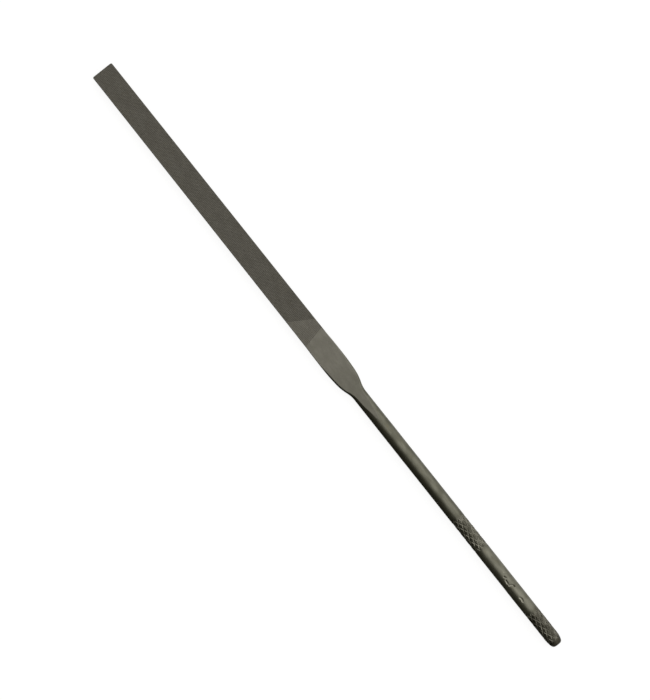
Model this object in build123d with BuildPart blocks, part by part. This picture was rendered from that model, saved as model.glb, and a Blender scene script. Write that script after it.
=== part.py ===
"""Flat needle file, 16 cm: one piece of hardened steel, modelled as its named zones.

Millimetres. +X runs along the file to its tip, +Z is square to the two flat faces.
The origin is under the middle of the file's length, at the height of the surface it lies on.
Stations are distances from the tip. Each zone ends where the next one starts, face to face.
"""

from build123d import *
from math import asin, cos, radians, sin, sqrt, tan
import os

# Overall size, and the rod's slight narrowing towards the blade
TOTAL_LENGTH = 160.0
ROD_RADIUS = 1.625
NECK_RADIUS = 1.600

# Blade
BLADE_THICKNESS = 1.30
TIP_WIDTH = 5.25
CUT_END_WIDTH = 5.51
TIP_CORNER_RADIUS = 0.35
TIP_BEVEL = 0.10

# Heel: three tangent arcs carry its outline from the widest point down to the rod
HEEL_WIDTH = 5.70
UPPER_ARC_RADIUS = 55.0
UPPER_ARC_LENGTH = 4.8
SHOULDER_RADIUS = 12.0
SHOULDER_LENGTH = 3.0

# Neck: each flat climbs out to the rod's surface as a straight ramp
RAMP_ANGLE = 6.2

# Butt
BUTT_ROUNDING = 2.4
BUTT_FLAT_RADIUS = 0.85

# Stations from the tip
CUT_END = 75.0
HEEL_WIDEST = 80.7
RAMP_START = 88.1
SHANK_START = 98.5
FRONT_KNURL_START = 124.4
FRONT_KNURL_END = 133.6
REAR_KNURL_START = 150.6

AXIS_HEIGHT = ROD_RADIUS
HALF_THICKNESS = BLADE_THICKNESS / 2
RAMP_RISE = ROD_RADIUS - HALF_THICKNESS
RAMP_END = RAMP_START + RAMP_RISE / tan(radians(RAMP_ANGLE))
BUTT_START = TOTAL_LENGTH - BUTT_ROUNDING

# The rod's axis, and the upright plane that holds it, with local X and Y along the row's X and Z
ROD_AXIS = Axis((0, 0, AXIS_HEIGHT), (1, 0, 0))
LENGTHWISE = Plane(origin=(0, 0, AXIS_HEIGHT), x_dir=(1, 0, 0), z_dir=(0, -1, 0))

os.makedirs("parts", exist_ok=True)


def station(distance):
    """X of a point this far from the tip."""
    return TOTAL_LENGTH / 2 - distance


def arc_drop(radius, run):
    """How far an arc falls away from its tangent over a run."""
    return radius - sqrt(radius**2 - run**2)


# The convex arcs end at the shoulder angle, and a hollow arc brings the outline back to the rod
UPPER_ARC_ANGLE = asin(UPPER_ARC_LENGTH / UPPER_ARC_RADIUS)
SHOULDER_START = HEEL_WIDEST + UPPER_ARC_LENGTH
SHOULDER_START_HALF = HEEL_WIDTH / 2 - arc_drop(UPPER_ARC_RADIUS, UPPER_ARC_LENGTH)
SHOULDER_ANGLE = asin(sin(UPPER_ARC_ANGLE) + SHOULDER_LENGTH / SHOULDER_RADIUS)
SHOULDER_END = SHOULDER_START + SHOULDER_LENGTH
SHOULDER_END_HALF = SHOULDER_START_HALF - SHOULDER_RADIUS * (cos(UPPER_ARC_ANGLE) - cos(SHOULDER_ANGLE))
HOLLOW_RADIUS = (SHOULDER_END_HALF - NECK_RADIUS) / (1 - cos(SHOULDER_ANGLE))
HOLLOW_END = SHOULDER_END + HOLLOW_RADIUS * sin(SHOULDER_ANGLE)


def half_width(distance):
    """Half of the heel's or neck's width at a station."""
    if distance <= HEEL_WIDEST:
        share = (distance - CUT_END) / (HEEL_WIDEST - CUT_END)
        ease = share * (2 - share)
        return (CUT_END_WIDTH + (HEEL_WIDTH - CUT_END_WIDTH) * ease) / 2
    if distance <= SHOULDER_START:
        return HEEL_WIDTH / 2 - arc_drop(UPPER_ARC_RADIUS, distance - HEEL_WIDEST)
    if distance <= SHOULDER_END:
        angle = asin(sin(UPPER_ARC_ANGLE) + (distance - SHOULDER_START) / SHOULDER_RADIUS)
        return SHOULDER_START_HALF - SHOULDER_RADIUS * (cos(UPPER_ARC_ANGLE) - cos(angle))
    return NECK_RADIUS + arc_drop(HOLLOW_RADIUS, HOLLOW_END - distance)


def half_height(distance):
    """Half of the height between the flats at a station."""
    return HALF_THICKNESS + max(0.0, distance - RAMP_START) * tan(radians(RAMP_ANGLE))


def cross_section(distance):
    """Sketch of the section at a station: two flats, and side walls as round as the rod's neck."""
    high = half_height(distance)
    side = half_width(distance)
    edge = side - NECK_RADIUS + sqrt(NECK_RADIUS**2 - high**2)
    plane = Plane(origin=(station(distance), 0, AXIS_HEIGHT), x_dir=(0, 1, 0), z_dir=(1, 0, 0))
    with BuildSketch(plane) as section:
        with BuildLine():
            Line((-edge, high), (edge, high))
            ThreePointArc((edge, high), (side, 0), (edge, -high))
            Line((edge, -high), (-edge, -high))
            ThreePointArc((-edge, -high), (-side, 0), (-edge, high))
        make_face()
    return section.sketch


def rod_disc(distance):
    """Sketch of the round handle's section at a station, facing the butt."""
    plane = Plane(origin=(station(distance), 0, AXIS_HEIGHT), x_dir=(0, 1, 0), z_dir=(-1, 0, 0))
    with BuildSketch(plane) as disc:
        Circle(ROD_RADIUS)
    return disc.sketch


# The cut part of the blade: a flat bar, slightly narrower at the tip, square at its end
with BuildPart() as cut_blade:
    with BuildSketch(Plane.XY.offset(AXIS_HEIGHT - HALF_THICKNESS)):
        with BuildLine():
            Polyline(
                (station(CUT_END), CUT_END_WIDTH / 2),
                (station(0), TIP_WIDTH / 2),
                (station(0), -TIP_WIDTH / 2),
                (station(CUT_END), -CUT_END_WIDTH / 2),
                close=True,
            )
        make_face()
    extrude(amount=BLADE_THICKNESS)
    tip_corners = cut_blade.edges().filter_by(Axis.Z).group_by(Axis.X)[-1]
    fillet(tip_corners, radius=TIP_CORNER_RADIUS)
    tip_face = cut_blade.faces().sort_by(Axis.X)[-1]
    chamfer(tip_face.edges().filter_by(Axis.Y), length=TIP_BEVEL)
cut_blade.part.label = "cut_blade"
export_step(cut_blade.part, "parts/cut_blade.step")

# The heel: plain ground flats, from the end of the cut to the start of the ramps
heel_stations = [CUT_END, 78.0, HEEL_WIDEST, 83.2, SHOULDER_START, 87.0, RAMP_START]
with BuildPart() as heel:
    loft(sections=[cross_section(distance) for distance in heel_stations])
heel.part.label = "heel"
export_step(heel.part, "parts/heel.step")

# The neck: the shoulders run into the slightly tapered rod, and the flats climb to its surface
neck_stations = [RAMP_START, SHOULDER_END, 89.5, HOLLOW_END]
cone_profile = [
    (station(HOLLOW_END), 0),
    (station(HOLLOW_END), NECK_RADIUS),
    (station(SHANK_START), ROD_RADIUS),
    (station(SHANK_START), 0),
]
ramp_profile = [
    (station(HOLLOW_END), half_height(HOLLOW_END)),
    (station(RAMP_END), ROD_RADIUS),
    (station(SHANK_START), ROD_RADIUS),
    (station(SHANK_START), -ROD_RADIUS),
    (station(RAMP_END), -ROD_RADIUS),
    (station(HOLLOW_END), -half_height(HOLLOW_END)),
]
with BuildPart() as neck:
    with BuildSketch(LENGTHWISE):
        with BuildLine():
            Polyline(*cone_profile, close=True)
        make_face()
    revolve(axis=ROD_AXIS)
    with BuildSketch(LENGTHWISE):
        with BuildLine():
            Polyline(*ramp_profile, close=True)
        make_face()
    extrude(amount=2 * ROD_RADIUS, both=True, mode=Mode.INTERSECT)
    loft(sections=[cross_section(distance) for distance in neck_stations])
neck.part.label = "neck"
export_step(neck.part, "parts/neck.step")

# The plain front of the handle
with BuildPart() as handle_shank:
    extrude(rod_disc(SHANK_START), amount=FRONT_KNURL_START - SHANK_START)
handle_shank.part.label = "handle_shank"
export_step(handle_shank.part, "parts/handle_shank.step")

# The handle's front band, where a diamond knurl is pressed into the rod
with BuildPart() as front_knurl_band:
    extrude(rod_disc(FRONT_KNURL_START), amount=FRONT_KNURL_END - FRONT_KNURL_START)
front_knurl_band.part.label = "front_knurl_band"
export_step(front_knurl_band.part, "parts/front_knurl_band.step")

# The smooth band between the knurls, which carries the struck marks
with BuildPart() as mark_band:
    extrude(rod_disc(FRONT_KNURL_END), amount=REAR_KNURL_START - FRONT_KNURL_END)
mark_band.part.label = "mark_band"
export_step(mark_band.part, "parts/mark_band.step")

# The handle's rear knurled band
with BuildPart() as rear_knurl_band:
    extrude(rod_disc(REAR_KNURL_START), amount=BUTT_START - REAR_KNURL_START)
rear_knurl_band.part.label = "rear_knurl_band"
export_step(rear_knurl_band.part, "parts/rear_knurl_band.step")

# The rounded butt: a quarter ellipse turned about the handle's axis, with a small flat end
with BuildPart() as butt_end:
    with BuildSketch(LENGTHWISE):
        with BuildLine():
            Line((station(BUTT_START), 0), (station(BUTT_START), ROD_RADIUS))
            EllipticalCenterArc(
                (station(BUTT_START), BUTT_FLAT_RADIUS),
                BUTT_ROUNDING,
                ROD_RADIUS - BUTT_FLAT_RADIUS,
                start_angle=90,
                arc_size=90,
            )
            Line((station(TOTAL_LENGTH), BUTT_FLAT_RADIUS), (station(TOTAL_LENGTH), 0))
            Line((station(TOTAL_LENGTH), 0), (station(BUTT_START), 0))
        make_face()
    revolve(axis=ROD_AXIS)
butt_end.part.label = "butt_end"
export_step(butt_end.part, "parts/butt_end.step")
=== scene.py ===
"""The looks of a flat needle file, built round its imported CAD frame.

Shape sizes are millimetres, and MM turns them into metres. A station is a distance from the tip, along
the file. Heights are measured from the handle's axis. Each zone of the file is one closed mesh. A list of
(station, level) pairs is a value that goes smoothly from level to level along the file.
"""

from math import asin, ceil, cos, floor, pi, radians, sin, tan

import bmesh
import bpy
import numpy as np
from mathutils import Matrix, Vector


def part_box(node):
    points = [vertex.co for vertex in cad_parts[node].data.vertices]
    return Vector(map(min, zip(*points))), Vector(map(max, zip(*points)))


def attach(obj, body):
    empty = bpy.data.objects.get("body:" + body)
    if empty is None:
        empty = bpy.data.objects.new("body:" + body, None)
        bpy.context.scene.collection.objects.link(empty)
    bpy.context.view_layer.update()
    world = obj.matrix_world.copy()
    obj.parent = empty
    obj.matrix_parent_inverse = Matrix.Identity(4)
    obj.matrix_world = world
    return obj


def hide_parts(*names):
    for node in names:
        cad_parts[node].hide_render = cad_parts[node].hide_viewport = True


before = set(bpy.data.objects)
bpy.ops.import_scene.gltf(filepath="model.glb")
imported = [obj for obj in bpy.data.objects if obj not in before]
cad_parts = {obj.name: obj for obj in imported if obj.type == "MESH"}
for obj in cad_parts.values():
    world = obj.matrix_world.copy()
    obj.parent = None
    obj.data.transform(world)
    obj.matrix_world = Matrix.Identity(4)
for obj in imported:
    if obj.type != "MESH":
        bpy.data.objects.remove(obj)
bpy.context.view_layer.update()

MM = 0.001
UV_NAME = "OFBake"
noise = np.random.default_rng(7)

# ---------------------------------------------------------------- sizes from the frame

TIP_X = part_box("cut_blade")[1].x / MM


def stations(node):
    """Where a zone starts and ends."""
    low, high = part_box(node)
    return TIP_X - high.x / MM, TIP_X - low.x / MM


def half_extent(node, axis):
    """Half of a zone's size along one axis."""
    low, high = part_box(node)
    return (high[axis] - low[axis]) / 2 / MM


CUT_END = stations("cut_blade")[1]
RAMP_START = stations("heel")[1]
SHANK_START = stations("neck")[1]
FRONT_KNURL = stations("front_knurl_band")
MARK_BAND = stations("mark_band")
REAR_KNURL = stations("rear_knurl_band")
BUTT_START, BUTT_TIP = stations("butt_end")

ROD_RADIUS = half_extent("handle_shank", 2)
HALF_THICKNESS = half_extent("cut_blade", 2)
CUT_END_HALF = half_extent("cut_blade", 1)
AXIS_HEIGHT = (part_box("handle_shank")[0].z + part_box("handle_shank")[1].z) / 2 / MM

# ---------------------------------------------------------------- sizes of the shapes

NECK_RADIUS = 1.600
TIP_HALF = 2.625
TIP_CORNER = 0.35
TIP_CORNER_CUTS = (radians(22), radians(45), radians(68))
TIP_CORNER_POINTS = 7
BLADE_BEVEL = 0.09

# The heel's outline: a bulge, two convex arcs, and a hollow arc that meets the rod
HEEL_WIDEST = 80.7
HEEL_HALF = 2.85
UPPER_ARC_RADIUS = 55.0
UPPER_ARC_LENGTH = 4.8
SHOULDER_RADIUS = 12.0
SHOULDER_LENGTH = 3.0
RAMP_SLOPE = tan(radians(6.2))
EDGE_ROUNDING = 0.06
FLAT_TOLERANCE = 0.002

# How far the side walls are rounded, as a share of the rod's own roundness
WALL_ROUNDNESS = ((78.0, 0.35), (84.5, 2.4), (88.0, 2.6), (94.0, 1.4), (97.5, 1.0))

# The ground finish grows duller towards the neck, and only the heel's corners are rubbed
DULLED_STRETCH = ((80.0, 0.0), (89.0, 0.24))
RUBBED_CORNERS = ((84.0, 1.0), (91.0, 0.0))

# The drawn and hand-straightened rod is uneven, in slow waves
UNEVENNESS = 0.0035
UNEVENNESS_FADE = 4.0
# Each wave's strength, radians a millimetre, times round the rod, and start
UNEVEN_WAVES = ((1.0, 0.83, 2, 0.0), (1.0, 0.47, -3, 1.3), (0.5, 2.1, 1, 0.4))

# Teeth: two sets of lines cross on each face, one set marks each edge
PITCH = 0.30
PITCH_JITTER = 0.05
DEPTH_LEAST = 0.88
FIRST_CUT_ANGLE = radians(58)
SECOND_CUT_ANGLE = radians(77)
FIRST_CUT_DEPTH = 0.040
SECOND_CUT_DEPTH = 0.062
FIRST_CUT_STOP = 59.15
SECOND_CUT_STOP = 72.35
EDGE_CUT_DEPTH = 0.035
EDGE_CUT_SLANT = tan(radians(12))
EDGE_CUT_START = 0.8
EDGE_CUT_STOP = 72.0
# One tooth, from gullet to crest and back: share of the pitch, share of the depth
TOOTH_PROFILE = ((0.0, 1.0), (0.17, 0.0), (0.56, 0.45))

# Knurl: V-shaped grooves wind both ways round the rod and leave raised diamonds
KNURL_STARTS = 10
KNURL_PITCH = 1.89
GROOVE_HALF_WIDTH = 0.22
GROOVE_BLUNTNESS = 0.12
GROOVE_DEPTH = 0.165
GROOVE_UNEVENNESS = 0.15
GROOVE_LIP = 0.018
GROOVE_LIP_WIDTH = 0.07
# Painted glints in the knurl: a bright band partway down each groove's wall, and bright lips that are worn
# metal and painted glint at once
WALL_GLINT_OFFSET = 0.14
WALL_GLINT_WIDTH = 0.065
WALL_GLINT = 0.68
LIP_WEAR_AND_GLINT = 0.58
# How hard the knurl is pressed in, at the middle and how far that swings, as shares
PRESSURE = (0.78, 0.22)
KNURL_FADE = 0.7
REAR_KNURL_END = BUTT_START + 1.5

# Where two grooves of each knurl cross: station, and angle from the top
FRONT_CROSSING = (131.26, radians(17))
REAR_CROSSING = (156.52, radians(12))

# Fingers polish the plain stretch between the knurls, and leave dirt in the knurls
HANDLED_WEAR = 0.17
HANDLED_STRETCH = ((132.0, 0.0), (134.5, 1.0), (149.0, 1.0), (152.0, 0.0))
SOILED_FRONT = ((123.5, 0.0), (125.5, 0.66), (132.5, 0.66), (134.5, 0.0))
SOILED_STRETCH = SOILED_FRONT + ((149.5, 0.0), (152.0, 1.0))
SOIL_OVER_WEAR = 0.3

# Dirt pools from this share of a groove's depth, and is thickest this much deeper
POOLED_GRIME = 0.80
POOLED_FROM = 0.45
POOLED_REACH = 0.45

# Struck marks: each stroke's station, distance round from the top, length and slant
MARK_DEPTH = 0.210
MARK_HALF_WIDTH = 0.28
MARK_STROKES = (
    (141.25, -0.14, 0.80, radians(-22)),
    (142.25, 0.24, 1.05, radians(9)),
    (143.25, 0.02, 0.90, radians(-66)),
    (143.90, -0.52, 0.75, radians(6)),
)
SHALLOW_STROKE = (140.3, -0.70, 0.95, radians(-30))
SHALLOW_DEPTH = 0.40
# The shallow stroke's walls get a painted glint of this strength
SHALLOW_GLINT = 0.50
STROKE_FADE = 0.16

# The crescent's station, distance round from the top, radius and half of its arc
CRESCENT = (147.2, -0.02, 0.75, radians(52))
CRESCENT_FADE = 0.25

# Butt: its flat, its rings, and the radii between which the knurl fades out
BUTT_FLAT_RADIUS = 0.85
BUTT_CURVE_RINGS = 60
BUTT_FLAT_RINGS = 12
BUTT_INNER_RADIUS = 0.08
BUTT_FADE_RADII = (0.2, 1.0)


def arc_drop(radius, run):
    """How far an arc falls away from its tangent over a run."""
    return radius - np.sqrt(radius**2 - np.square(run))


UPPER_ARC_ANGLE = asin(UPPER_ARC_LENGTH / UPPER_ARC_RADIUS)
SHOULDER_START = HEEL_WIDEST + UPPER_ARC_LENGTH
SHOULDER_END = SHOULDER_START + SHOULDER_LENGTH
SHOULDER_START_HALF = HEEL_HALF - arc_drop(UPPER_ARC_RADIUS, UPPER_ARC_LENGTH)
SHOULDER_ANGLE = asin(sin(UPPER_ARC_ANGLE) + SHOULDER_LENGTH / SHOULDER_RADIUS)
SHOULDER_FALL = SHOULDER_RADIUS * (cos(UPPER_ARC_ANGLE) - cos(SHOULDER_ANGLE))
HOLLOW_RADIUS = (SHOULDER_START_HALF - SHOULDER_FALL - NECK_RADIUS) / (1 - cos(SHOULDER_ANGLE))
HOLLOW_END = SHOULDER_END + HOLLOW_RADIUS * sin(SHOULDER_ANGLE)

# ---------------------------------------------------------------- small helpers


def smooth_step(value):
    """0 below 0, 1 above 1, and smooth between."""
    share = np.clip(value, 0, 1)
    return share * share * (3 - 2 * share)


def smooth_steps(place, levels):
    """A value that goes smoothly from level to level, held at the first and the last."""
    value = levels[0][1]
    for (start, low), (end, high) in zip(levels, levels[1:]):
        value = value + (high - low) * smooth_step((place - start) / (end - start))
    return value


def smooth_min(first, second, reach):
    """The lesser of two heights, rounded off where they meet."""
    gap = np.clip(reach - np.abs(first - second), 0, None) / reach
    return np.minimum(first, second) - gap * gap * reach / 4


def new_object(name, vertices, faces):
    """A mesh object from places given as station, y and height above the axis."""
    places = np.asarray(vertices, float)
    world = np.column_stack([TIP_X - places[:, 0], places[:, 1], AXIS_HEIGHT + places[:, 2]]) * MM
    mesh = bpy.data.meshes.new(name)
    mesh.from_pydata(world.tolist(), [], faces)
    mesh.validate()
    piece = bpy.data.objects.new(name, mesh)
    bpy.context.scene.collection.objects.link(piece)
    return piece


def set_point_values(piece, name, values):
    """Store a number at each vertex, for the piece's material to read."""
    layer = piece.data.attributes.new(name, "FLOAT", "POINT")
    layer.data.foreach_set("value", np.asarray(values, np.float32))


def finish_piece(piece, slot, *materials):
    """Give a piece its materials and its body, and hide the CAD node that it stands for. The slot is not
    used.
    """
    for material in materials:
        piece.data.materials.append(material)
    node = piece.name.removesuffix("_steel")
    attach(piece, "root")
    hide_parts(node)


# ---------------------------------------------------------------- round zones: heel, neck and handle

RING_COUNT = 320
SHANK_RING_COUNT = 192
FLAT_ZONE_RINGS = 160
KNURL_SPACING = 0.04
MARK_SPACING = 0.065
SHANK_SPACING = 0.12

# A round zone's bake map: its two caps side by side at the bottom, and its wall in a sheet above them
CAP_UV_RADIUS = 0.04
CAP_UV_ROW = 0.06
FRONT_CAP_UV = 0.06
BACK_CAP_UV = 0.18
SHEET_UV_LOW = 0.12
SHEET_UV_HIGH = 0.98
SHEET_UV_MARGIN = 0.02


def ring_angles(count=RING_COUNT):
    """Angles round a section, from +Y over the top."""
    return np.arange(count) * 2 * pi / count


def ring_mesh(name, places, y, height, round_end=False):
    """A closed mesh over rings of points: places has one station for each row of y and height."""
    rings, count = y.shape
    station_grid = np.repeat(np.asarray(places, float)[:, None], count, axis=1)
    points = np.stack([station_grid, y, height], axis=2).reshape(-1, 3)
    ends = [(places[0], 0, 0), (places[-1], 0, 0)]
    front_centre = rings * count
    back_centre = front_centre + 1
    faces = []
    uvs = []
    rows = np.linspace(SHEET_UV_LOW, SHEET_UV_HIGH, rings)
    columns = np.linspace(SHEET_UV_MARGIN, 1 - SHEET_UV_MARGIN, count + 1)
    for i in range(rings - 1):
        low, high = rows[i : i + 2]
        for j in range(count):
            k = (j + 1) % count
            left, right = columns[j : j + 2]
            faces.append((i * count + j, (i + 1) * count + j, (i + 1) * count + k, i * count + k))
            uvs += [(left, low), (left, high), (right, high), (right, low)]
    last = (rings - 1) * count
    for j in range(count):
        k = (j + 1) % count
        faces.append((front_centre, j, k))
        uvs += cap_uvs(FRONT_CAP_UV, j / count, k / count)
        faces.append((back_centre, last + k, last + j))
        uvs += cap_uvs(BACK_CAP_UV, k / count, j / count)
    piece = new_object(name, np.vstack([points, ends]), faces)
    layer = piece.data.uv_layers.new(name=UV_NAME)
    layer.data.foreach_set("uv", np.asarray(uvs, np.float32).ravel())
    piece.data.shade_smooth()
    mark_sharp_rings(piece.data, count, rings, round_end)
    return piece


def cap_uvs(centre, *turns):
    """Where a cap's triangle lies on the bake map: its centre, then two points of its rim."""
    rim = [
        (centre + CAP_UV_RADIUS * cos(2 * pi * turn), CAP_UV_ROW + CAP_UV_RADIUS * sin(2 * pi * turn))
        for turn in turns
    ]
    return [(centre, CAP_UV_ROW)] + rim


def set_ring_values(piece, name, values):
    """Store a number at each point of the rings, and 0 at the middle of each cap."""
    set_point_values(piece, name, np.append(values.ravel(), [0, 0]))


def mark_sharp_rings(mesh, count, rings, round_end):
    """Keep the flat caps' shading off the walls, so that neighbouring zones shade as one surface."""
    ends = np.empty(len(mesh.edges) * 2, np.int32)
    mesh.edges.foreach_get("vertices", ends)
    ends = ends.reshape(-1, 2)
    sharp = (ends < count).all(axis=1)
    if not round_end:
        last = (rings - 1) * count
        sharp |= ((ends >= last) & (ends < last + count)).all(axis=1)
    layer = mesh.attributes.new("sharp_edge", "BOOLEAN", "EDGE")
    layer.data.foreach_set("value", sharp)


def heel_half_width(place):
    """Half of the width of the heel and neck, at stations up to where the outline meets the rod."""
    share = np.clip((place - CUT_END) / (HEEL_WIDEST - CUT_END), 0, 1)
    bulge = CUT_END_HALF + (HEEL_HALF - CUT_END_HALF) * share * (2 - share)
    upper = HEEL_HALF - arc_drop(UPPER_ARC_RADIUS, np.clip(place - HEEL_WIDEST, 0, UPPER_ARC_LENGTH))
    sine = sin(UPPER_ARC_ANGLE) + np.clip(place - SHOULDER_START, 0, SHOULDER_LENGTH) / SHOULDER_RADIUS
    shoulder = SHOULDER_START_HALF - SHOULDER_RADIUS * (cos(UPPER_ARC_ANGLE) - np.sqrt(1 - sine**2))
    hollow_run = np.clip(HOLLOW_END - place, 0, HOLLOW_END - SHOULDER_END)
    hollow = NECK_RADIUS + arc_drop(HOLLOW_RADIUS, hollow_run)
    stretches = [place <= HEEL_WIDEST, place <= SHOULDER_START, place <= SHOULDER_END]
    return np.select(stretches, [bulge, upper, shoulder], hollow)


def unevenness(place, angle):
    """How far the rod lies under its nominal radius, which the waves together never pass."""
    drop = 0
    for strength, rate, times_round, start in UNEVEN_WAVES:
        drop = drop + strength * (1 - np.sin(rate * place + times_round * angle + start))
    return UNEVENNESS * drop * smooth_step((place - HOLLOW_END) / UNEVENNESS_FADE)


def flat_section(place, angle):
    """Points round the heel's and neck's sections: two flats between side walls as round as the rod."""
    rod = np.interp(place, [HOLLOW_END, SHANK_START], [NECK_RADIUS, ROD_RADIUS])
    rod = rod - unevenness(place, angle)
    side = np.where(place < HOLLOW_END, heel_half_width(place), rod)
    flat = HALF_THICKNESS + np.clip(place - RAMP_START, 0, None) * RAMP_SLOPE
    wall_roundness = smooth_steps(place, WALL_ROUNDNESS)
    quarter = np.arcsin(np.abs(np.sin(angle)))
    height = smooth_min(rod * np.sin(quarter), flat, EDGE_ROUNDING)
    wall = side - wall_roundness * (rod - np.sqrt(rod**2 - height**2))
    crease = np.arcsin(np.minimum(flat / rod, 1))
    crease_y = side - wall_roundness * (rod - np.sqrt(np.maximum(rod**2 - flat**2, 0)))
    share = (pi / 2 - quarter) / np.maximum(pi / 2 - crease, 1e-6)
    y = np.where(quarter < crease, wall, crease_y * share)
    return np.sign(np.cos(angle)) * np.abs(y), np.sign(np.sin(angle)) * height, flat


def build_flat_zone(name, start, end):
    """The heel or the neck: ground flats, and walls that keep the rod's skin as a second material."""
    place = np.linspace(start, end, FLAT_ZONE_RINGS)
    y, height, flat = flat_section(place[:, None], ring_angles()[None, :])
    piece = ring_mesh(name, place, y, height)
    below_flat = np.broadcast_to(flat, height.shape) - np.abs(height)
    corner_wear = np.exp(-((below_flat / EDGE_ROUNDING) ** 2)) * (below_flat > FLAT_TOLERANCE)
    corner_wear *= smooth_steps(place, RUBBED_CORNERS)[:, None]
    set_ring_values(piece, "wear_and_glint", corner_wear)
    dull = smooth_steps(place, DULLED_STRETCH)[:, None]
    set_ring_values(piece, "dull", np.broadcast_to(dull, height.shape))
    on_wall = below_flat[:-1] > EDGE_ROUNDING / 2
    caps = [0] * (2 * height.shape[1])
    piece.data.polygons.foreach_set("material_index", np.append(on_wall.ravel().astype(np.int32), caps))
    return piece


def knurl(place, angle, crossing, crossing_angle, start, end):
    """A knurl's two sets of grooves: their depth, and the worn metal and painted glints on their walls and
    lips.
    """
    around = (pi / 2 - angle - crossing_angle) * KNURL_STARTS / (2 * pi)
    along = (place - crossing) / KNURL_PITCH
    spacing = 1 / np.hypot(KNURL_STARTS / (2 * pi * ROD_RADIUS), 1 / KNURL_PITCH)
    cover = smooth_step((place - start) / KNURL_FADE) * smooth_step((end - place) / KNURL_FADE)
    base, swing = PRESSURE
    strength = cover * (base + swing * np.sin(0.9 * place + 2 * angle) * np.sin(1.7 * place - angle))
    depth = np.zeros(np.broadcast(place, angle).shape)
    lip = np.zeros_like(depth)
    wall_glint = np.zeros_like(depth)
    for turn in (around + along, around - along):
        groove_number = np.round(turn)
        offset = np.abs(turn - groove_number) * spacing
        reach = np.hypot(offset / GROOVE_HALF_WIDTH, GROOVE_BLUNTNESS)
        groove = np.clip(1 + GROOVE_BLUNTNESS - reach, 0, 1)
        groove_turn = 6 * pi * groove_number / KNURL_STARTS
        groove = groove * (1 - GROOVE_UNEVENNESS + GROOVE_UNEVENNESS * np.sin(groove_turn))
        depth = np.maximum(depth, groove)
        lip = np.maximum(lip, np.exp(-(((offset - GROOVE_HALF_WIDTH) / GROOVE_LIP_WIDTH) ** 2)))
        wall_glint = np.maximum(wall_glint, np.exp(-(((offset - WALL_GLINT_OFFSET) / WALL_GLINT_WIDTH) ** 2)))
    lip *= np.clip(1 - 2 * depth, 0, 1)
    # Painted glints: the band on each groove's wall, and the lips, whose brightness is also wear
    worn_and_glinting = np.maximum(WALL_GLINT * wall_glint, LIP_WEAR_AND_GLINT * lip)
    return (depth * GROOVE_DEPTH + (1 - lip) * GROOVE_LIP) * strength, worn_and_glinting * cover


def bar_mark(place, across, station, offset, length, slant):
    """A short straight V-shaped dent, as the share of a mark's full depth."""
    run = (place - station) * cos(slant) + (across - offset) * sin(slant)
    side = (across - offset) * cos(slant) - (place - station) * sin(slant)
    lengthwise = smooth_step((length / 2 - np.abs(run)) / STROKE_FADE + 0.5)
    return lengthwise * np.clip(1 - np.abs(side) / MARK_HALF_WIDTH, 0, 1)


def crescent_mark(place, across, station, offset, radius, reach):
    """A V-shaped dent along part of a circle, open towards +Y."""
    run = place - station
    side = across - offset - radius
    turn = np.abs(np.arctan2(run, -side))
    ring = np.abs(np.hypot(run, side) - radius)
    fade = smooth_step((reach - turn) / CRESCENT_FADE + 0.5)
    return np.clip(1 - ring / MARK_HALF_WIDTH, 0, 1) * fade


def marks(place, angle):
    """Depth of the struck marks and the painted glint on their walls: slanted strokes and a crescent, no
    letter and no number.
    """
    across = ROD_RADIUS * (pi / 2 - angle)
    dents = crescent_mark(place, across, *CRESCENT)
    for stroke in MARK_STROKES:
        dents = np.maximum(dents, bar_mark(place, across, *stroke))
    # Painted glint: each dent's walls are brightened, most of all halfway down
    worn_and_glinting = np.clip(6 * dents * (1 - dents), 0, 1)
    shallow = bar_mark(place, across, *SHALLOW_STROKE)
    depth = MARK_DEPTH * np.maximum(dents, SHALLOW_DEPTH * shallow)
    return depth, np.maximum(worn_and_glinting, SHALLOW_GLINT * shallow)


def rod_surface(place, angle):
    """What is pressed into the handle: depth inward from its nominal radius, and where worn metal and
    painted glints brighten it.
    """
    front, front_wear_and_glint = knurl(place, angle, *FRONT_CROSSING, *FRONT_KNURL)
    rear, rear_wear_and_glint = knurl(place, angle, *REAR_CROSSING, REAR_KNURL[0], REAR_KNURL_END)
    struck, struck_glint = marks(place, angle)
    handled = HANDLED_WEAR * smooth_steps(place, HANDLED_STRETCH)
    wear_and_glint = np.maximum(np.maximum(front_wear_and_glint, rear_wear_and_glint), np.maximum(struck_glint, handled))
    return unevenness(place, angle) + front + rear + struck, wear_and_glint


def build_rod_zone(name, start, end, spacing, count=RING_COUNT):
    """A length of the round handle."""
    rings = ceil((end - start) / spacing) + 1
    place = np.linspace(start, end, rings)
    angle = ring_angles(count)[None, :]
    depth, wear_and_glint = rod_surface(place[:, None], angle)
    radius = ROD_RADIUS - depth
    piece = ring_mesh(name, place, radius * np.cos(angle), radius * np.sin(angle))
    add_rod_values(piece, place, depth, wear_and_glint)
    return piece


def add_rod_values(piece, place, depth, wear_and_glint):
    """Tell the material how much grime each point of the handle holds, and how much wear and painted glint
    brighten it.
    """
    soil = smooth_steps(place, SOILED_STRETCH)[:, None]
    pooled = POOLED_GRIME * smooth_step((depth / GROOVE_DEPTH - POOLED_FROM) / POOLED_REACH)
    grime = soil + (1 - soil) * pooled
    wear_and_glint = wear_and_glint * (1 - SOIL_OVER_WEAR * soil)
    set_ring_values(piece, "grime", grime)
    set_ring_values(piece, "wear_and_glint", wear_and_glint)


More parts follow.
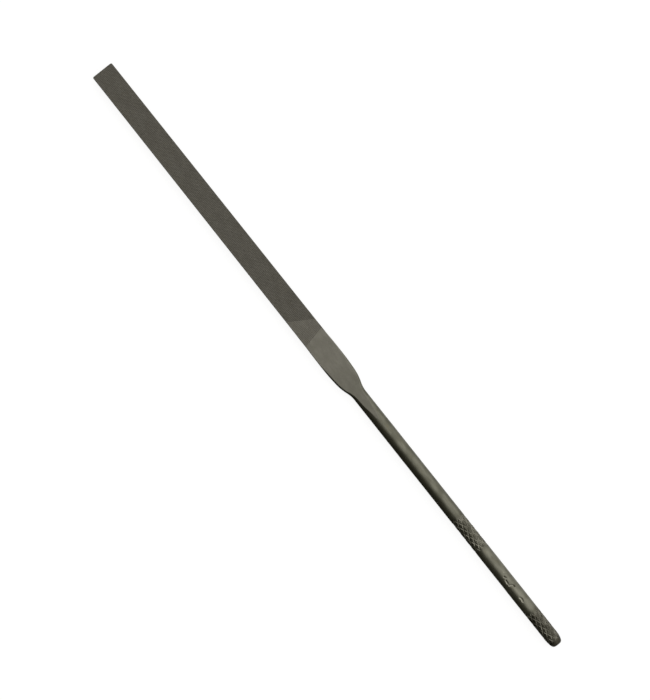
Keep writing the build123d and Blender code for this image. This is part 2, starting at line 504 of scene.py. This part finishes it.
def build_butt(name):
    """The butt: a quarter ellipse that turns into a small flat end."""
    turn = np.linspace(0, pi / 2, BUTT_CURVE_RINGS)
    rounding = BUTT_TIP - BUTT_START
    place = BUTT_START + rounding * np.sin(turn)
    radius = BUTT_FLAT_RADIUS + (ROD_RADIUS - BUTT_FLAT_RADIUS) * np.cos(turn)
    flat_radius = np.linspace(BUTT_FLAT_RADIUS, BUTT_INNER_RADIUS, BUTT_FLAT_RINGS)[1:]
    place = np.append(place, np.full(len(flat_radius), BUTT_TIP))
    radius = np.append(radius, flat_radius)
    angle = ring_angles()[None, :]
    inner, outer = BUTT_FADE_RADII
    near_rim = smooth_step((radius[:, None] - inner) / (outer - inner))
    depth, wear_and_glint = rod_surface(place[:, None], angle)
    depth = depth * near_rim
    radius = radius[:, None] - depth
    piece = ring_mesh(name, place, radius * np.cos(angle), radius * np.sin(angle), round_end=True)
    add_rod_values(piece, place, depth, wear_and_glint * near_rim)
    return piece


# ---------------------------------------------------------------- the cut blade

# The blade's bake map: the gap between its rows, and how near to the blade's end a wall is the end's
UV_GAP = 0.5
UV_END_TOLERANCE = 0.02


def tooth_lines(first, last, stop):
    """Places of the lines of one set of teeth, and the share of the cut's depth on each line."""
    teeth = np.arange(floor(first / PITCH), ceil(last / PITCH) + 1)
    shares, depths = np.array(TOOTH_PROFILE).T
    start = teeth + noise.uniform(-PITCH_JITTER, PITCH_JITTER, len(teeth))
    places = ((start[:, None] + shares) * PITCH).ravel()
    depth = np.tile(depths, len(teeth))
    depth[places > stop] = 0
    return places, depth


def blade_half_width(place):
    """Half of the cut blade's width, which tapers to the tip."""
    return TIP_HALF + (CUT_END_HALF - TIP_HALF) * place / CUT_END


def tooth_sheet():
    """One face of the blade: crossing lines of teeth on a slanted grid, larger than the blade."""
    reach = CUT_END_HALF * cos(FIRST_CUT_ANGLE) + PITCH
    first, first_depth = tooth_lines(-reach, CUT_END * sin(FIRST_CUT_ANGLE) + reach, FIRST_CUT_STOP)
    second, second_depth = tooth_lines(-reach, CUT_END * sin(SECOND_CUT_ANGLE) + reach, SECOND_CUT_STOP)
    across, along = np.meshgrid(first, second, indexing="ij")
    angle_sum = sin(FIRST_CUT_ANGLE + SECOND_CUT_ANGLE)
    place = (across * cos(SECOND_CUT_ANGLE) + along * cos(FIRST_CUT_ANGLE)) / angle_sum
    y = (across * sin(SECOND_CUT_ANGLE) - along * sin(FIRST_CUT_ANGLE)) / angle_sum
    depth = first_depth[:, None] * FIRST_CUT_DEPTH + second_depth[None, :] * SECOND_CUT_DEPTH
    depth = depth * noise.uniform(DEPTH_LEAST, 1.0, depth.shape)
    margin = 2 * PITCH
    kept = (np.abs(y) < CUT_END_HALF + margin) & (place > -margin) & (place < CUT_END + margin)
    number = np.full(kept.shape, -1)
    number[kept] = np.arange(kept.sum())
    corners = np.stack([number[:-1, :-1], number[1:, :-1], number[1:, 1:], number[:-1, 1:]], axis=2)
    quads = corners.reshape(-1, 4)
    quads = quads[(quads >= 0).all(axis=1)]
    points = np.column_stack([place[kept], y[kept], HALF_THICKNESS - depth[kept]])
    return points, quads


def clip_planes():
    """Upright planes, as point and outward direction, that trim a face of the blade to its outline."""
    taper = (CUT_END_HALF - TIP_HALF) / CUT_END
    planes = [((CUT_END, 0, 0), (1, 0, 0)), ((BLADE_BEVEL, 0, 0), (-1, 0, 0))]
    radius = TIP_CORNER - BLADE_BEVEL
    for side in (1, -1):
        planes.append(((0, side * (TIP_HALF - BLADE_BEVEL), 0), (-taper, side, 0)))
        centre_y = side * (TIP_HALF - TIP_CORNER)
        for turn in TIP_CORNER_CUTS:
            outward = (-cos(turn), side * sin(turn), 0)
            corner = (TIP_CORNER + radius * outward[0], centre_y + radius * outward[1], 0)
            planes.append((corner, outward))
    return planes


def clipped_sheet():
    """The trimmed face of the blade: its points, its faces and its border, in order."""
    points, quads = tooth_sheet()
    mesh = bmesh.new()
    corners = [mesh.verts.new(point) for point in points]
    for quad in quads:
        mesh.faces.new([corners[index] for index in quad])
    for point, outward in clip_planes():
        everything = mesh.verts[:] + mesh.edges[:] + mesh.faces[:]
        bmesh.ops.bisect_plane(
            mesh, geom=everything, dist=1e-4, plane_co=point, plane_no=outward, clear_outer=True
        )
    loose = [vertex for vertex in mesh.verts if not vertex.link_faces]
    bmesh.ops.delete(mesh, geom=loose, context="VERTS")
    mesh.verts.index_update()
    points = np.array([vertex.co for vertex in mesh.verts])
    faces = [[vertex.index for vertex in face.verts] for face in mesh.faces]
    border = border_loop(mesh)
    mesh.free()
    return points, faces, border


def border_loop(mesh):
    """Numbers of the vertices round an open sheet's border, in order."""
    edges = [edge for edge in mesh.edges if edge.is_boundary]
    follows = {}
    for edge in edges:
        loop = edge.link_loops[0]
        follows[loop.vert.index] = loop.link_loop_next.vert.index
    start = edges[0].link_loops[0].vert.index
    border = [start]
    while follows[border[-1]] != start:
        border.append(follows[border[-1]])
    return border


def corner_points(side):
    """The tip's rounded corner, from the long edge round to the tip."""
    centre_y = side * (TIP_HALF - TIP_CORNER)
    turns = np.linspace(pi / 2, 0, TIP_CORNER_POINTS)
    return [
        (TIP_CORNER - TIP_CORNER * cos(turn), centre_y + side * TIP_CORNER * sin(turn)) for turn in turns
    ]


HEEL_CORNERS = [(CUT_END, CUT_END_HALF), (CUT_END, -CUT_END_HALF)]


def blade_outline():
    """The blade's plain outline, once round, from the +Y corner of the tip."""
    return np.array(corner_points(1)[::-1] + HEEL_CORNERS + corner_points(-1))


OUTLINE = blade_outline()
OUTLINE_STEPS = np.roll(OUTLINE, -1, axis=0) - OUTLINE
OUTLINE_LENGTHS = np.hypot(OUTLINE_STEPS[:, 0], OUTLINE_STEPS[:, 1])
OUTLINE_STARTS = np.concatenate([[0], np.cumsum(OUTLINE_LENGTHS)[:-1]])
OUTLINE_LENGTH = OUTLINE_LENGTHS.sum()


def distance_round(points):
    """How far round the outline each point lies, found on the outline's nearest stretch."""
    offsets = np.asarray(points)[:, None, :2] - OUTLINE[None]
    shares = np.clip((offsets * OUTLINE_STEPS).sum(axis=2) / OUTLINE_LENGTHS**2, 0, 1)
    gaps = np.linalg.norm(offsets - shares[:, :, None] * OUTLINE_STEPS, axis=2)
    nearest = gaps.argmin(axis=1)
    rows = np.arange(len(nearest))
    return OUTLINE_STARTS[nearest] + shares[rows, nearest] * OUTLINE_LENGTHS[nearest]


def edge_ring(height):
    """The points round the blade's upright walls at one height, with the edges' teeth cut in."""
    places, depth = tooth_lines(EDGE_CUT_START, EDGE_CUT_STOP, EDGE_CUT_STOP)
    slide = EDGE_CUT_SLANT * height
    half_widths = blade_half_width(places) - depth * EDGE_CUT_DEPTH
    plus_edge = list(zip(places + slide, half_widths))
    minus_edge = list(zip(places - slide, -half_widths))
    outline = corner_points(1)[::-1] + plus_edge + HEEL_CORNERS + minus_edge[::-1] + corner_points(-1)
    return [(place, y, height) for place, y in outline]


def zip_loops(first, first_round, second, second_round):
    """Triangles that join two loops of vertices, given each vertex's distance round the outline."""
    first_round = np.append(first_round, first_round[0] + OUTLINE_LENGTH)
    second_round = np.append(second_round, second_round[0] + OUTLINE_LENGTH)
    triangles = []
    i = j = 0
    while i < len(first) or j < len(second):
        here = int(first[i % len(first)])
        there = int(second[j % len(second)])
        if j == len(second) or (i < len(first) and first_round[i + 1] <= second_round[j + 1]):
            i += 1
            triangles.append((here, there, int(first[i % len(first)])))
        else:
            j += 1
            triangles.append((here, there, int(second[j % len(second)])))
    return triangles


def signed_area(points):
    """Area inside a loop, positive when it runs from the tip's direction towards +Y."""
    place, y = np.asarray(points)[:, 0], np.asarray(points)[:, 1]
    return (place * np.roll(y, -1) - np.roll(place, -1) * y).sum() / 2


def in_outline_order(numbers, points):
    """A border that runs the outline's way round from the outline's start, and its distances round."""
    numbers = np.asarray(numbers)
    if signed_area(points[numbers]) * signed_area(OUTLINE) < 0:
        numbers = numbers[::-1]
    distances = distance_round(points[numbers])
    start = distances.argmin()
    return np.roll(numbers, -start), np.maximum.accumulate(np.roll(distances, -start))


def blade_uv(place, y, height, is_sheet, centre):
    """Where a face's corner lies on the blade's bake map, whose rows are halves of faces and edges."""
    row_length = CUT_END / 2
    map_size = row_length + 3 * UV_GAP
    face_row = 2 * CUT_END_HALF + UV_GAP
    edge_row = 2 * HALF_THICKNESS + UV_GAP
    edges_base = UV_GAP / 2 + 4 * face_row
    ends_base = edges_base + 4 * edge_row
    far_half = int(centre[0] > row_length)
    along = place - far_half * row_length + UV_GAP
    if is_sheet:
        row = 2 * int(centre[2] < 0) + far_half
        return along / map_size, (UV_GAP / 2 + row * face_row + y + CUT_END_HALF) / map_size
    if centre[0] < TIP_CORNER / 3 or centre[0] > CUT_END - UV_END_TOLERANCE:
        shift = UV_GAP + far_half * face_row
        return (shift + y + CUT_END_HALF) / map_size, (ends_base + height + HALF_THICKNESS) / map_size
    row = 2 * int(centre[1] < 0) + far_half
    return along / map_size, (edges_base + row * edge_row + height + HALF_THICKNESS) / map_size


def build_blade(name):
    """The cut blade: a toothed sheet, the same sheet turned over, and the walls between them."""
    sheet, sheet_faces, border = clipped_sheet()
    turned = sheet * (1, -1, -1)
    wall_height = HALF_THICKNESS - BLADE_BEVEL
    upper_ring = np.array(edge_ring(wall_height))
    lower_ring = np.array(edge_ring(-wall_height))
    points = np.vstack([sheet, turned, upper_ring, lower_ring])
    count = len(sheet)
    ring_count = len(upper_ring)
    upper_numbers = 2 * count + np.arange(ring_count)
    lower_numbers = upper_numbers + ring_count
    walls = [
        (int(upper_numbers[i]), int(lower_numbers[i]), int(lower_numbers[k]), int(upper_numbers[k]))
        for i, k in zip(range(ring_count), np.roll(range(ring_count), -1))
    ]
    walls += zip_loops(*in_outline_order(border, points), *in_outline_order(upper_numbers, points))
    lower_border = np.asarray(border) + count
    walls += zip_loops(*in_outline_order(lower_border, points), *in_outline_order(lower_numbers, points))
    turned_faces = [[index + count for index in face] for face in sheet_faces]
    piece = new_object(name, points, sheet_faces + turned_faces + walls)
    turn_faces_outward(piece.data)
    lay_out_blade(piece.data, points, 2 * len(sheet_faces))
    deepest = FIRST_CUT_DEPTH + SECOND_CUT_DEPTH
    relief = np.clip((np.abs(points[:, 2]) - HALF_THICKNESS + deepest) / deepest, 0, 1)
    edge_gap = blade_half_width(points[2 * count :, 0]) - np.abs(points[2 * count :, 1])
    relief[2 * count :] = 1 - np.clip(edge_gap / EDGE_CUT_DEPTH, 0, 1)
    set_point_values(piece, "relief", relief)
    return piece


def turn_faces_outward(mesh):
    """Make every face of a closed mesh face out of it."""
    work = bmesh.new()
    work.from_mesh(mesh)
    bmesh.ops.recalc_face_normals(work, faces=work.faces)
    work.to_mesh(mesh)
    work.free()


def lay_out_blade(mesh, points, sheet_face_count):
    """Give the blade its bake map, and its uncut corner by the heel the ground finish."""
    layer = mesh.uv_layers.new(name=UV_NAME)
    uvs = np.empty((len(mesh.loops), 2), np.float32)
    finish = np.zeros(len(mesh.polygons), np.int32)
    for face in mesh.polygons:
        corners = points[list(face.vertices)]
        centre = corners.mean(axis=0)
        is_sheet = face.index < sheet_face_count
        for loop, corner in zip(face.loop_indices, corners):
            uvs[loop] = blade_uv(*corner, is_sheet, centre)
        side = 1 if centre[2] > 0 else -1
        row = centre[0] * sin(SECOND_CUT_ANGLE) - side * centre[1] * cos(SECOND_CUT_ANGLE)
        finish[face.index] = row > SECOND_CUT_STOP if is_sheet else centre[0] > EDGE_CUT_STOP + PITCH
    layer.data.foreach_set("uv", uvs.ravel())
    mesh.polygons.foreach_set("material_index", finish)


# ---------------------------------------------------------------- materials

# Colours, as linear red, green and blue
GROUND_DARK = (0.165, 0.158, 0.133)
GROUND_LIGHT = (0.197, 0.189, 0.160)
GROUND_TINT = (0.160, 0.162, 0.123)
GROUND_LINE = (0.137, 0.130, 0.109)
GROUND_DULL = (0.102, 0.102, 0.077)
# Bright steel for worn places, and for the painted glints in the knurl and the marks
WORN_AND_GLINT_STEEL = (0.400, 0.388, 0.325)
CUT_DARK = (0.173, 0.164, 0.139)
CUT_LIGHT = (0.206, 0.197, 0.169)
CUT_TINT = (0.188, 0.173, 0.132)
GULLET = (0.072, 0.067, 0.056)
HANDLE_DARK = (0.116, 0.114, 0.087)
HANDLE_LIGHT = (0.176, 0.173, 0.137)
HANDLE_TINT = (0.136, 0.126, 0.083)
HANDLE_LINE = (0.092, 0.087, 0.069)
GRIME = (0.042, 0.039, 0.028)
FLOOR_LOW = (0.17, 0.17, 0.17)
FLOOR_HIGH = (0.20, 0.20, 0.20)
FLOOR_GLOW = 0.87

STAIN_STRENGTH = 0.55
SPECK_STRENGTH = 0.60
SPECK_SHADE = 0.45
RUBBED_STRENGTH = 0.12

# How tall each finish's fine relief is, in millimetres
GROUND_RELIEF = 0.0035
CUT_RELIEF = 0.003
HANDLE_RELIEF = 0.005

# A mix node's sockets for a share and for two colours, and its output for a colour
MIX_SHARE = 0
MIX_COLORS = (6, 7)
MIX_RESULT = 2


def feed(tree, socket, value):
    """Link an input to another socket, or set its own value."""
    if isinstance(value, bpy.types.NodeSocket):
        tree.links.new(value, socket)
    else:
        socket.default_value = value


def add_node(tree, kind, settings=(), **inputs):
    """Add a node with its settings, and its inputs as values or other sockets."""
    node = tree.nodes.new(kind)
    for key, value in dict(settings).items():
        setattr(node, key, value)
    for key, value in inputs.items():
        feed(tree, node.inputs[key], value)
    return node


def start_material(name, metallic=1.0):
    """A new material, its node tree and its surface shader."""
    material = bpy.data.materials.new(name)
    material.use_nodes = True
    surface = material.node_tree.nodes["Principled BSDF"]
    surface.inputs["Metallic"].default_value = metallic
    return material, material.node_tree, surface


def position(tree, per_mm):
    """The place on the file, in millimetres, stretched by a number for each axis."""
    coordinates = add_node(tree, "ShaderNodeTexCoord")
    scaled = add_node(tree, "ShaderNodeVectorMath", {"operation": "MULTIPLY"})
    feed(tree, scaled.inputs[0], coordinates.outputs["Object"])
    feed(tree, scaled.inputs[1], [share / MM for share in per_mm])
    return scaled.outputs["Vector"]


def noise_value(tree, per_mm, detail=3.0, roughness=0.55, distortion=0.0):
    """Noise from 0 to 1 over the file, with a number of features a millimetre along each axis."""
    node = add_node(tree, "ShaderNodeTexNoise", Vector=position(tree, per_mm), Scale=1.0, Detail=detail)
    node.inputs["Roughness"].default_value = roughness
    node.inputs["Distortion"].default_value = distortion
    return node.outputs["Fac"]


def remap(tree, value, low, high, to_low=0.0, to_high=1.0):
    """A value's range carried to another, and held inside it."""
    node = add_node(tree, "ShaderNodeMapRange", {"interpolation_type": "SMOOTHSTEP"}, Value=value)
    for name, number in (("From Min", low), ("From Max", high), ("To Min", to_low), ("To Max", to_high)):
        node.inputs[name].default_value = number
    return node.outputs["Result"]


def mix_colors(tree, share, first, second):
    """A colour part of the way from the first to the second."""
    node = add_node(tree, "ShaderNodeMix", {"data_type": "RGBA"})
    feed(tree, node.inputs[MIX_SHARE], share)
    for number, color in zip(MIX_COLORS, (first, second)):
        is_socket = isinstance(color, bpy.types.NodeSocket)
        feed(tree, node.inputs[number], color if is_socket else (*color, 1.0))
    return node.outputs[MIX_RESULT]


def combine(tree, operation, first, second):
    """Arithmetic on two values."""
    node = add_node(tree, "ShaderNodeMath", {"operation": operation})
    feed(tree, node.inputs[0], first)
    feed(tree, node.inputs[1], second)
    return node.outputs["Value"]


def point_value(tree, name):
    """A number stored at the mesh's vertices."""
    node = add_node(tree, "ShaderNodeAttribute", {"attribute_name": name})
    return node.outputs["Fac"]


def set_bump(tree, surface, height, depth_mm):
    """Raise the surface by a height from 0 to 1, this many millimetres tall."""
    bump = add_node(tree, "ShaderNodeBump", Height=height, Strength=1.0, Distance=depth_mm * MM)
    tree.links.new(bump.outputs["Normal"], surface.inputs["Normal"])


def steel_patina(tree, dark, light, tint):
    """Mottled steel colour: slow cloudy change of shade, warm stains and a few dark specks."""
    clouds = remap(tree, noise_value(tree, (0.35, 0.8, 0.8), detail=4), 0.32, 0.68)
    shade = mix_colors(tree, clouds, dark, light)
    stains = remap(tree, noise_value(tree, (0.9, 1.4, 1.4), detail=5, distortion=0.4), 0.50, 0.74)
    stained = mix_colors(tree, combine(tree, "MULTIPLY", stains, STAIN_STRENGTH), shade, tint)
    specks = remap(tree, noise_value(tree, (5.0, 7.0, 7.0), detail=2), 0.66, 0.76)
    speck_color = [channel * SPECK_SHADE for channel in dark]
    return mix_colors(tree, combine(tree, "MULTIPLY", specks, SPECK_STRENGTH), stained, speck_color)


def ground_steel():
    """Satin steel from a grinding wheel: fine lines along the file, and edges rubbed brighter."""
    material, tree, surface = start_material("ground_steel")
    base = steel_patina(tree, GROUND_DARK, GROUND_LIGHT, GROUND_TINT)
    lines = noise_value(tree, (0.5, 16.0, 16.0), detail=3, roughness=0.7)
    lined = mix_colors(tree, remap(tree, lines, 0.30, 0.72, 0.0, 0.35), base, GROUND_LINE)
    dulled = mix_colors(tree, point_value(tree, "dull"), lined, GROUND_DULL)
    worn_and_glinting = combine(tree, "MULTIPLY", point_value(tree, "wear_and_glint"), RUBBED_STRENGTH)
    tree.links.new(mix_colors(tree, worn_and_glinting, dulled, WORN_AND_GLINT_STEEL), surface.inputs["Base Color"])
    grain = noise_value(tree, (7.0, 18.0, 18.0), detail=4)
    tree.links.new(remap(tree, grain, 0.30, 0.70, 0.36, 0.50), surface.inputs["Roughness"])
    relief = combine(tree, "ADD", lines, combine(tree, "MULTIPLY", grain, 0.5))
    set_bump(tree, surface, relief, GROUND_RELIEF)
    return material


def cut_steel():
    """Chisel-cut teeth: bare metal on their crests, and dark oil and dust in the gullets."""
    material, tree, surface = start_material("cut_steel")
    base = steel_patina(tree, CUT_DARK, CUT_LIGHT, CUT_TINT)
    crest = remap(tree, point_value(tree, "relief"), 0.15, 1.03)
    tree.links.new(mix_colors(tree, crest, GULLET, base), surface.inputs["Base Color"])
    grain = noise_value(tree, (9.0, 9.0, 9.0), detail=4)
    tree.links.new(remap(tree, grain, 0.3, 0.7, 0.42, 0.58), surface.inputs["Roughness"])
    set_bump(tree, surface, grain, CUT_RELIEF)
    return material


def handle_steel():
    """The handle's dark heat-treated skin: drawn lines, fine pitting, grime in the knurl's grooves, and
    worn metal and painted glints in the knurl and the marks.
    """
    material, tree, surface = start_material("handle_steel")
    base = steel_patina(tree, HANDLE_DARK, HANDLE_LIGHT, HANDLE_TINT)
    grimy = mix_colors(tree, point_value(tree, "grime"), base, GRIME)
    lines = noise_value(tree, (0.35, 11.0, 11.0), detail=4, roughness=0.65)
    lined = mix_colors(tree, remap(tree, lines, 0.40, 0.75, 0.0, 0.40), grimy, HANDLE_LINE)
    patchy = remap(tree, noise_value(tree, (0.6, 1.1, 1.1), detail=2), 0.34, 0.64, 0.25, 1.0)
    # The knurl's and the marks' painted glints, with the real wear, mix towards bright steel
    worn_and_glinting = combine(tree, "MULTIPLY", point_value(tree, "wear_and_glint"), patchy)
    tree.links.new(mix_colors(tree, worn_and_glinting, lined, WORN_AND_GLINT_STEEL), surface.inputs["Base Color"])
    grain = noise_value(tree, (6.0, 10.0, 10.0), detail=5, roughness=0.6)
    tree.links.new(remap(tree, grain, 0.28, 0.72, 0.30, 0.46), surface.inputs["Roughness"])
    pits = remap(tree, noise_value(tree, (3.2, 4.4, 4.4), detail=3), 0.60, 0.74, 1.0, 0.0)
    relief = combine(tree, "MULTIPLY", lines, 0.6)
    relief = combine(tree, "ADD", relief, combine(tree, "MULTIPLY", grain, 0.5))
    relief = combine(tree, "ADD", relief, combine(tree, "MULTIPLY", pits, 0.5))
    set_bump(tree, surface, relief, HANDLE_RELIEF)
    return material


def floor_paint():
    """Plain pale floor, faintly uneven."""
    material, tree, surface = start_material("floor_paint", metallic=0.0)
    clouds = add_node(tree, "ShaderNodeTexNoise", Scale=3.0, Detail=2.0)
    tone = mix_colors(tree, clouds.outputs["Fac"], FLOOR_LOW, FLOOR_HIGH)
    tree.links.new(tone, surface.inputs["Base Color"])
    surface.inputs["Roughness"].default_value = 0.9
    surface.inputs["Specular IOR Level"].default_value = 0.1
    surface.inputs["Emission Color"].default_value = (1.0, 1.0, 1.0, 1.0)
    surface.inputs["Emission Strength"].default_value = FLOOR_GLOW
    return material


# ---------------------------------------------------------------- studio, in metres

CAMERA_LENS = 100.0
CAMERA_DISTANCE = 0.42485
CAMERA_TURN = radians(-128.44)
CAMERA_AIM = (0.001925, -0.000165)
CAMERA_CLIP = (0.01, 20.0)

# The light: levels and tones, and for each reach, the direction's share where it starts and ends
SKY_BRIGHT = 1.28
SKY_DARK = 0.09
SKY_DARK_TONE = (1.0, 0.98, 0.78)
SKY_BRIGHT_TONE = (1.0, 0.99, 0.97)
DARK_SIDE = (0.0, 0.9994, -0.035)
DARK_SIDE_REACH = (0.656, -0.292)
END_LIGHT = 0.75
END_LIGHT_REACH = (0.38, 0.78)
HORIZON_LEVEL = 0.65
HORIZON_REACH = 0.45

BACKDROP_RADIUS = 5.0
BACKDROP_HEIGHT = 2.0
BACKDROP_SIDES = 96


def add_camera():
    """A long lens that looks straight down on the flat face, with the file lying corner to corner."""
    data = bpy.data.cameras.new("camera")
    data.lens = CAMERA_LENS
    data.clip_start, data.clip_end = CAMERA_CLIP
    camera = bpy.data.objects.new("camera", data)
    camera.location = (*CAMERA_AIM, CAMERA_DISTANCE + AXIS_HEIGHT * MM)
    camera.rotation_euler = (0.0, 0.0, CAMERA_TURN)
    bpy.context.scene.collection.objects.link(camera)
    bpy.context.scene.camera = camera


def add_sky():
    """A soft dome of light, bright overhead and all round, but for the side that one edge faces."""
    world = bpy.data.worlds.new("studio")
    world.use_nodes = True
    bpy.context.scene.world = world
    tree = world.node_tree
    direction = add_node(tree, "ShaderNodeTexCoord").outputs["Generated"]
    towards = add_node(tree, "ShaderNodeVectorMath", {"operation": "DOT_PRODUCT"})
    feed(tree, towards.inputs[0], direction)
    feed(tree, towards.inputs[1], DARK_SIDE)
    level = remap(tree, towards.outputs["Value"], *DARK_SIDE_REACH, SKY_DARK, SKY_BRIGHT)
    axes = add_node(tree, "ShaderNodeSeparateXYZ", Vector=direction)
    lengthwise = combine(tree, "ABSOLUTE", axes.outputs["X"], 0.0)
    level = combine(tree, "MAXIMUM", level, remap(tree, lengthwise, *END_LIGHT_REACH, 0.0, END_LIGHT))
    horizon = remap(tree, axes.outputs["Z"], 0.0, HORIZON_REACH, HORIZON_LEVEL, 1.0)
    level = combine(tree, "MULTIPLY", level, horizon)
    background = tree.nodes["Background"]
    tone = mix_colors(tree, remap(tree, level, SKY_DARK, SKY_BRIGHT / 2), SKY_DARK_TONE, SKY_BRIGHT_TONE)
    tree.links.new(tone, background.inputs["Color"])
    tree.links.new(level, background.inputs["Strength"])


def add_floor():
    """The plain floor that the file lies on, and a far round wall in the same paint behind it."""
    count = BACKDROP_SIDES
    rim = [(BACKDROP_RADIUS * cos(turn), BACKDROP_RADIUS * sin(turn)) for turn in ring_angles(count)]
    corners = [(x, y, 0.0) for x, y in rim] + [(x, y, BACKDROP_HEIGHT) for x, y in rim]
    walls = [(i, (i + 1) % count, count + (i + 1) % count, count + i) for i in range(count)]
    mesh = bpy.data.meshes.new("floor")
    mesh.from_pydata(corners, [], [tuple(range(count))] + walls)
    floor_piece = bpy.data.objects.new("floor", mesh)
    floor_piece.data.materials.append(floor_paint())
    floor_piece.visible_glossy = False
    bpy.context.scene.collection.objects.link(floor_piece)


# ---------------------------------------------------------------- the file

add_camera()
add_sky()
add_floor()
bpy.context.scene.view_settings.view_transform = "Standard"

ground = ground_steel()
cut = cut_steel()
handle = handle_steel()

finish_piece(build_blade("cut_blade_steel"), "cut_steel", cut, ground)
finish_piece(build_flat_zone("heel_steel", CUT_END, RAMP_START), "ground_steel", ground, handle)
finish_piece(build_flat_zone("neck_steel", RAMP_START, SHANK_START), "ground_steel", ground, handle)
shank = build_rod_zone("handle_shank_steel", SHANK_START, FRONT_KNURL[0], SHANK_SPACING, SHANK_RING_COUNT)
finish_piece(shank, "handle_steel", handle)
finish_piece(build_rod_zone("front_knurl_band_steel", *FRONT_KNURL, KNURL_SPACING), "handle_steel", handle)
finish_piece(build_rod_zone("mark_band_steel", *MARK_BAND, MARK_SPACING), "handle_steel", handle)
finish_piece(build_rod_zone("rear_knurl_band_steel", *REAR_KNURL, KNURL_SPACING), "handle_steel", handle)
finish_piece(build_butt("butt_end_steel"), "handle_steel", handle)
